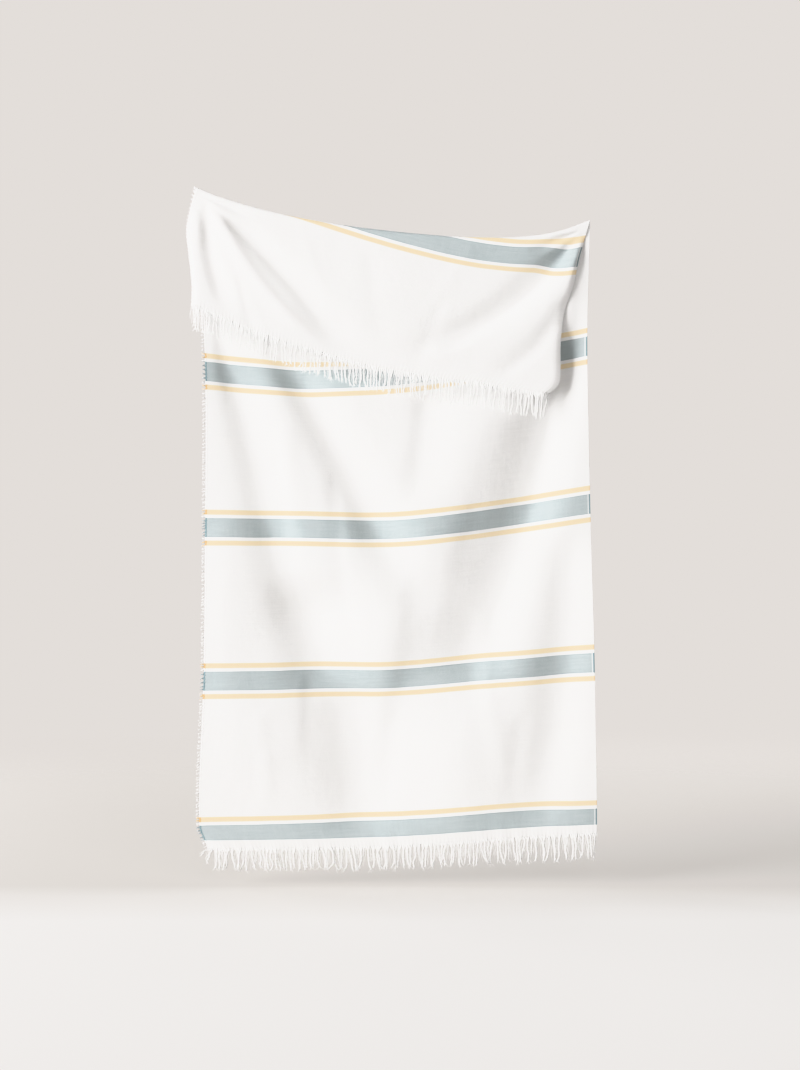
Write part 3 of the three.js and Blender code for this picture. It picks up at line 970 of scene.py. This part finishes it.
def calc(tree, operation, *sources, clamp=False):
    node = shader_node(tree, "ShaderNodeMath", operation=operation, use_clamp=clamp)
    for socket, source in zip(node.inputs, sources):
        feed(tree, socket, source)
    return node.outputs[0]


def times(tree, *sources):
    """The product of all the sources."""
    whole = sources[0]
    for source in sources[1:]:
        whole = calc(tree, "MULTIPLY", whole, source)
    return whole


def blend_colour(tree, share, first, second):
    node = shader_node(tree, "ShaderNodeMix", data_type="RGBA")
    feed(tree, node.inputs["Factor"], share)
    for name, source in (("A", first), ("B", second)):
        socket = next(s for s in node.inputs if s.name == name and s.type == "RGBA")
        feed(tree, socket, source if isinstance(source, bpy.types.NodeSocket) else (*source, 1))
    return next(s for s in node.outputs if s.type == "RGBA")


def between(tree, value, low, high, soft):
    """1 where the value lies between low and high, 0 outside, with soft edges."""
    above = calc(tree, "MULTIPLY_ADD", value, 1 / soft, 0.5 - low / soft, clamp=True)
    under = calc(tree, "MULTIPLY_ADD", value, -1 / soft, 0.5 + high / soft, clamp=True)
    return calc(tree, "MINIMUM", above, under)


def new_group(name, inputs, outputs):
    tree = bpy.data.node_groups.new(name, "ShaderNodeTree")
    for label, kind in inputs:
        tree.interface.new_socket(label, in_out="INPUT", socket_type=kind)
    for label, kind in outputs:
        tree.interface.new_socket(label, in_out="OUTPUT", socket_type=kind)
    return tree, tree.nodes.new("NodeGroupInput"), tree.nodes.new("NodeGroupOutput")


VALUE = "NodeSocketFloat"
VECTOR = "NodeSocketVector"


def flat_place(tree, cloth):
    """Distances across and along the flat cloth, in millimetres, from its UV."""
    split = shader_node(tree, "ShaderNodeSeparateXYZ")
    feed(tree, split.inputs[0], cloth)
    across = times(tree, split.outputs[0], CLOTH_WIDTH)
    along = times(tree, split.outputs[1], CLOTH_LENGTH)
    return across, along


def streaks(tree, across, along, grain):
    """Noise drawn out along one direction of the cloth."""
    place = shader_node(tree, "ShaderNodeCombineXYZ")
    feed(tree, place.inputs[0], times(tree, across, grain.across))
    feed(tree, place.inputs[1], times(tree, along, grain.along))
    texture = shader_node(tree, "ShaderNodeTexNoise")
    feed(tree, texture.inputs["Vector"], place.outputs[0])
    feed(tree, texture.inputs["Scale"], 1.0)
    feed(tree, texture.inputs["Detail"], grain.detail)
    return texture.outputs[0]


def make_stripe_group():
    names = ("Blue", "Yellow", "Band edge", "Left line", "Right line", "Pale line")
    tree, given, result = new_group("woven_stripes", [("Cloth", VECTOR)], [(n, VALUE) for n in names])
    across, along = flat_place(tree, given.outputs["Cloth"])
    grain = streaks(tree, across, along, WAVER_GRAIN)
    waver = calc(tree, "MULTIPLY_ADD", grain, STRIPE_WAVER, -STRIPE_WAVER / 2)
    line = calc(tree, "ADD", along, waver)
    half = STRIPE_REPEAT / 2
    shifted = calc(tree, "ADD", line, half - FIRST_BAND_TOP)
    phase = calc(tree, "SUBTRACT", calc(tree, "FLOORED_MODULO", shifted, STRIPE_REPEAT), half)
    striped = between(tree, line, STRIPES_START, STRIPES_END, BAND_SOFT)
    blue = times(tree, striped, between(tree, phase, -BLUE_WIDTH, 0, BAND_SOFT))
    over = between(tree, phase, WHITE_GAP, WHITE_GAP + YELLOW_WIDTH, YELLOW_SOFT)
    low = -BLUE_WIDTH - WHITE_GAP
    under = between(tree, phase, low - YELLOW_WIDTH, low, YELLOW_SOFT)
    yellow = times(tree, striped, calc(tree, "MAXIMUM", over, under))
    top_edge = between(tree, phase, -BAND_LINE, BAND_LINE_OVER, LINE_SOFT)
    low_edge = between(tree, phase, -BLUE_WIDTH - BAND_LINE_OVER, BAND_LINE - BLUE_WIDTH, LINE_SOFT)
    foot = between(tree, line, STRIPES_START, STRIPES_START + BAND_LINE, LINE_SOFT)
    edges = calc(tree, "MAXIMUM", top_edge, calc(tree, "MAXIMUM", foot, low_edge))
    band_edge = times(tree, blue, edges)
    left = between(tree, across, 0, WOVEN_EDGE * CLOTH_WIDTH + LEFT_LINE, LINE_SOFT)
    right = between(tree, across, CLOTH_WIDTH - RIGHT_LINE, CLOTH_WIDTH + PAST_THE_EDGE, LINE_SOFT)
    pale = between(tree, across, CLOTH_WIDTH - PALE_LINE_FROM, CLOTH_WIDTH - PALE_LINE_TO, LINE_SOFT)
    for name, source in zip(names, (blue, yellow, band_edge, left, right, pale)):
        feed(tree, result.inputs[name], source)
    return tree


def make_weave_group():
    """Plain weave of warp and weft with slubs, and the pulls of the strands in the header."""
    names = ("Height", "Weft on top", "Slub")
    tree, given, result = new_group("plain_weave", [("Cloth", VECTOR)], [(n, VALUE) for n in names])
    across, along = flat_place(tree, given.outputs["Cloth"])
    warp_wave = calc(tree, "SINE", times(tree, across, math.pi / THREAD))
    weft_wave = calc(tree, "SINE", times(tree, along, math.pi / THREAD))
    over_under = times(tree, warp_wave, weft_wave)
    weft_on_top = calc(tree, "MULTIPLY_ADD", over_under, *WEFT_ON_TOP, clamp=True)
    slub = 0.0
    for grain, share in SLUB_SHARES:
        slub = calc(tree, "MULTIPLY_ADD", streaks(tree, across, along, grain), share, slub)
    thread_height = times(tree, calc(tree, "ABSOLUTE", over_under), THREAD_RELIEF)
    height = calc(tree, "MULTIPLY_ADD", slub, SLUB_RELIEF, thread_height)
    crumple = streaks(tree, across, along, CRUMPLES)
    height = calc(tree, "MULTIPLY_ADD", crumple, CRUMPLE_RELIEF, height)
    pull = calc(tree, "SINE", times(tree, across, 2 * math.pi / STRAND_PITCH))
    near_hem = calc(tree, "EXPONENT", times(tree, along, -1 / HEADER_PULL_REACH))
    from_end = calc(tree, "SUBTRACT", along, CLOTH_LENGTH)
    near_end = calc(tree, "EXPONENT", times(tree, from_end, 1 / HEADER_PULL_REACH))
    near_edge = calc(tree, "ADD", near_hem, near_end)
    height = calc(tree, "MULTIPLY_ADD", times(tree, pull, near_edge), -HEADER_PULL, height)
    for name, source in zip(names, (height, weft_on_top, slub)):
        feed(tree, result.inputs[name], source)
    return tree


def cotton_material(label):
    """A matt cotton, and the UV that holds the flat place on the cloth or the strand."""
    material = bpy.data.materials.new(label)
    material.use_nodes = True
    tree = material.node_tree
    shader = tree.nodes["Principled BSDF"]
    for name, value in COTTON_FINISH.items():
        shader.inputs[name].default_value = value
    uv = shader_node(tree, "ShaderNodeUVMap", uv_map="cloth")
    return material, tree, shader, uv.outputs[0]


def placed_group(tree, group, cloth):
    node = shader_node(tree, "ShaderNodeGroup", node_tree=group)
    feed(tree, node.inputs["Cloth"], cloth)
    return node.outputs


def relief(tree, shader, height, distance=MM):
    bump = shader_node(tree, "ShaderNodeBump")
    feed(tree, bump.inputs["Distance"], distance)
    feed(tree, bump.inputs["Height"], height)
    feed(tree, shader.inputs["Normal"], bump.outputs[0])


def cloth_material(stripes, weave):
    material, tree, shader, cloth = cotton_material("woven_cotton")
    stripe = placed_group(tree, stripes, cloth)
    thread = placed_group(tree, weave, cloth)
    blue, yellow = stripe["Blue"], stripe["Yellow"]
    slub = calc(tree, "MULTIPLY_ADD", thread["Slub"], *SLUB_CONTRAST, clamp=True)
    weft = thread["Weft on top"]
    selvedge = calc(tree, "MAXIMUM", stripe["Left line"], stripe["Right line"])
    colour = blend_colour(tree, slub, WHITE_DEEP, WHITE_PALE)
    for share, tint in (
        (times(tree, blue, calc(tree, "MULTIPLY_ADD", weft, *BLUE_BY_WEFT)),
         blend_colour(tree, slub, BLUE_DEEP, BLUE_PALE)),
        (times(tree, stripe["Band edge"], BAND_LINE_SHARE), BLUE_LINE),
        (times(tree, yellow, calc(tree, "MULTIPLY_ADD", weft, *YELLOW_BY_WEFT)), YELLOW),
        (times(tree, selvedge, blue, TEAL_SHARE), TEAL),
        (times(tree, stripe["Left line"], yellow, OCHRE_SHARE), OCHRE),
        (times(tree, stripe["Pale line"], blue, PALE_SHARE), WHITE),
    ):
        colour = blend_colour(tree, share, colour, tint)
    feed(tree, shader.inputs["Base Color"], colour)
    relief(tree, shader, thread["Height"])
    return material


def selvedge_material(stripes, dark_share):
    """The yarn of the selvedges and cut ends: the stripe's own colour, deeper where it is bound."""
    material, tree, shader, cloth = cotton_material("selvedge_yarn")
    stripe = placed_group(tree, stripes, cloth)
    colour = blend_colour(tree, stripe["Blue"], WHITE, BLUE)
    colour = blend_colour(tree, stripe["Yellow"], colour, YELLOW)
    colour = blend_colour(tree, times(tree, stripe["Blue"], dark_share), colour, TEAL)
    warm_share = times(tree, stripe["Yellow"], dark_share * OCHRE_TO_TEAL)
    colour = blend_colour(tree, warm_share, colour, OCHRE)
    across, along = flat_place(tree, cloth)
    mottle = times(tree, streaks(tree, across, along, CORD_MOTTLE), CORD_MOTTLE_SHARE)
    colour = blend_colour(tree, times(tree, mottle, stripe["Blue"]), colour, WHITE)
    feed(tree, shader.inputs["Base Color"], colour)
    relief(tree, shader, streaks(tree, across, along, CORD_LUMPS), CORD_RELIEF * MM)
    return material


def fringe_material():
    """Plied yarn: the twist runs round the strand, with loose fibres between the plies, and painted shade in
    the grooves between the plies with painted light on their crowns.
    """
    material, tree, shader, strand = cotton_material("fringe_yarn")
    split = shader_node(tree, "ShaderNodeSeparateXYZ")
    feed(tree, split.inputs[0], strand)
    plies = times(tree, split.outputs[0], 2 * math.pi * YARN_PLIES)
    twist = times(tree, split.outputs[1], 2 * math.pi / YARN_TURN)
    ply = calc(tree, "SINE", calc(tree, "ADD", plies, twist))
    fibre = shader_node(tree, "ShaderNodeTexNoise")
    place = shader_node(tree, "ShaderNodeTexCoord")
    feed(tree, fibre.inputs["Vector"], place.outputs["Object"])
    feed(tree, fibre.inputs["Scale"], FIBRE_SCALE)
    feed(tree, fibre.inputs["Detail"], FIBRE_DETAIL)
    ply_height = times(tree, ply, PLY_HEIGHT)
    height = calc(tree, "MULTIPLY_ADD", fibre.outputs[0], FIBRE_HEIGHT, ply_height)
    relief(tree, shader, height, YARN_RELIEF * MM)
    # Painted shade: the yarn's colour darkens in the grooves of the ply relief and lightens on its crowns
    painted_ply_shade = calc(tree, "MULTIPLY_ADD", ply, 0.5, 0.5)
    feed(tree, shader.inputs["Base Color"], blend_colour(tree, painted_ply_shade, STRAND_SHADED_GROOVE, STRAND_LIT_CROWN))
    return material


# The stage

CAMERA_DISTANCE = 5.5
CAMERA_X = 0.497
CAMERA_Z = -0.821
VIEW_HEIGHT = 2.6215
FLOOR_Z = -1.681
# Painted light on the floor: its colour grows lighter toward the front over this length in metres, from the
# far colour to the near one
FLOOR_PAINTED_LIGHT_REACH = 0.5
FLOOR_PAINTED_DIM_FAR = (0.28, 0.265, 0.251)
FLOOR_PAINTED_BRIGHT_NEAR = (0.34, 0.328, 0.32)
# Painted light: the floor glows with these emission colours, far and near, which lighten the shadows on it
FLOOR_PAINTED_GLOW_FAR = (0.33, 0.314, 0.299)
FLOOR_PAINTED_GLOW_NEAR = (0.49, 0.482, 0.475)
FLOOR_HALF_WIDTH = 7
FLOOR_MIDDLE_X = 0.5
FLOOR_ROUGHNESS = 0.8
FLOOR_FADE_FROM, FLOOR_FADE_TO = 1.2, 4.5
BACKDROP = (0.818, 0.778, 0.748)
ROOM_LIGHT = (0.37, 0.359, 0.351)
CAMERA_SEES = 60
LONG_SIDE_SENSOR = 36

# Soft square lights that all aim at the middle of the cloth
LIGHTS_AIM = (0.48, 0.0, -0.8)
SoftLight = namedtuple("SoftLight", "name place size power colour")
LIGHTS = [
    SoftLight("key", (-6.2, -4.2, 1.2), 5.0, 1230, (0.985, 0.992, 1.0)),
    SoftLight("front_fill", (1.6, -5.4, 2.2), 3.0, 95, (1.0, 0.985, 0.97)),
    SoftLight("rear_key", (-3.4, 3.2, -0.2), 1.4, 170, (1.0, 1.0, 1.0)),
    SoftLight("rear_fill", (1.6, 5.0, -0.5), 3.0, 100, (1.0, 0.99, 0.98)),
]


def set_camera():
    data = bpy.data.cameras.new("camera")
    data.sensor_width = LONG_SIDE_SENSOR
    data.lens = LONG_SIDE_SENSOR * CAMERA_DISTANCE / VIEW_HEIGHT
    data.clip_end = CAMERA_SEES
    camera = bpy.data.objects.new("camera", data)
    camera.location = (CAMERA_X, -CAMERA_DISTANCE, CAMERA_Z)
    camera.rotation_euler = (math.radians(90), 0, 0)
    bpy.context.scene.collection.objects.link(camera)
    bpy.context.scene.camera = camera


def set_light(lamp):
    data = bpy.data.lights.new(lamp.name, "AREA")
    data.size = lamp.size
    data.energy = lamp.power
    data.color = lamp.colour
    light = bpy.data.objects.new(lamp.name, data)
    light.visible_camera = False
    light.location = lamp.place
    direction = Vector(LIGHTS_AIM) - Vector(lamp.place)
    light.rotation_euler = direction.to_track_quat("-Z", "Y").to_euler()
    bpy.context.scene.collection.objects.link(light)


def set_backdrop():
    """One colour for the camera to see, and another one that lights the cloth."""
    world = bpy.data.worlds.new("studio")
    bpy.context.scene.world = world
    world.use_nodes = True
    tree = world.node_tree
    seen = tree.nodes["Background"]
    feed(tree, seen.inputs["Color"], (*BACKDROP, 1))
    lit = shader_node(tree, "ShaderNodeBackground")
    feed(tree, lit.inputs["Color"], (*ROOM_LIGHT, 1))
    by_camera = shader_node(tree, "ShaderNodeLightPath").outputs["Is Camera Ray"]
    both = shader_node(tree, "ShaderNodeMixShader")
    for socket, source in zip(both.inputs, (by_camera, lit.outputs[0], seen.outputs[0])):
        feed(tree, socket, source)
    feed(tree, tree.nodes["World Output"].inputs["Surface"], both.outputs[0])


def lay_floor():
    """A pale floor with painted light: its colour grows lighter toward the front and it glows; it fades away
    before its far edge.
    """
    sheet = bmesh.new()
    bmesh.ops.create_grid(sheet, x_segments=1, y_segments=1, size=FLOOR_HALF_WIDTH)
    bmesh.ops.translate(sheet, verts=sheet.verts, vec=(FLOOR_MIDDLE_X, 0, FLOOR_Z))
    material = bpy.data.materials.new("studio_floor")
    material.use_nodes = True
    material.blend_method = "HASHED"
    tree = material.node_tree
    shader = tree.nodes["Principled BSDF"]
    shader.inputs["Roughness"].default_value = FLOOR_ROUGHNESS
    # Painted light: the floor glows by its emission
    shader.inputs["Emission Strength"].default_value = 1.0
    place = shader_node(tree, "ShaderNodeTexCoord")
    split = shader_node(tree, "ShaderNodeSeparateXYZ")
    feed(tree, split.inputs[0], place.outputs["Object"])
    # Painted light: the floor's colour gets lighter toward the front
    nearer = calc(tree, "MULTIPLY_ADD", split.outputs[1], -1 / FLOOR_PAINTED_LIGHT_REACH, 0.0, clamp=True)
    feed(tree, shader.inputs["Base Color"], blend_colour(tree, nearer, FLOOR_PAINTED_DIM_FAR, FLOOR_PAINTED_BRIGHT_NEAR))
    # Painted glow, lighter toward the front
    feed(tree, shader.inputs["Emission Color"], blend_colour(tree, nearer, FLOOR_PAINTED_GLOW_FAR, FLOOR_PAINTED_GLOW_NEAR))
    centred = shader_node(tree, "ShaderNodeMapping")
    feed(tree, centred.inputs["Vector"], place.outputs["Object"])
    feed(tree, centred.inputs["Location"], (-FLOOR_MIDDLE_X, 0, -FLOOR_Z))
    away = shader_node(tree, "ShaderNodeVectorMath", operation="LENGTH")
    feed(tree, away.inputs[0], centred.outputs[0])
    fade = shader_node(tree, "ShaderNodeMapRange", interpolation_type="SMOOTHSTEP")
    ends = {"From Min": FLOOR_FADE_FROM, "From Max": FLOOR_FADE_TO, "To Min": 1.0, "To Max": 0.0}
    for name, source in {"Value": away.outputs["Value"], **ends}.items():
        feed(tree, fade.inputs[name], source)
    feed(tree, shader.inputs["Alpha"], fade.outputs[0])
    finished("studio_floor", sheet, material)


# The towel

set_camera()
set_backdrop()
for lamp in LIGHTS:
    set_light(lamp)
lay_floor()
bpy.context.scene.view_settings.view_transform = "Khronos PBR Neutral"

stripe_group = make_stripe_group()
cotton = cloth_material(stripe_group, make_weave_group())
yarn = fringe_material()

cloth = weave_cloth(cotton)
hem_fringe, hem_yarns = make_fringe("hem_fringe", HEM, yarn)
flap_fringe, flap_yarns = make_fringe("flap_fringe", FLAP_END, yarn)
cut_ends = make_cut_ends(selvedge_material(stripe_group, CUT_ENDS_DARK))
bound_edge = selvedge_material(stripe_group, CORD_DARK)
left_selvedge = make_selvedge("left_selvedge", LEFT_SELVEDGE, bound_edge)
right_selvedge = make_selvedge("right_selvedge", RIGHT_SELVEDGE, bound_edge)

# Light comes through the white strands that lie on the cloth: only their loose yarns throw a shadow on it
flap_fringe.visible_shadow = False

for piece, slot in (
    (cloth, "woven_cotton"),
    (left_selvedge, "woven_cotton"),
    (right_selvedge, "woven_cotton"),
    (cut_ends, "woven_cotton"),
    (hem_fringe, "fringe_yarn"),
    (hem_yarns, "fringe_yarn"),
    (flap_fringe, "fringe_yarn"),
    (flap_yarns, "fringe_yarn"),
):
    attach(piece, "root")

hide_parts("back_panel", "front_flap")
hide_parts("hem_fringe")
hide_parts("flap_fringe")
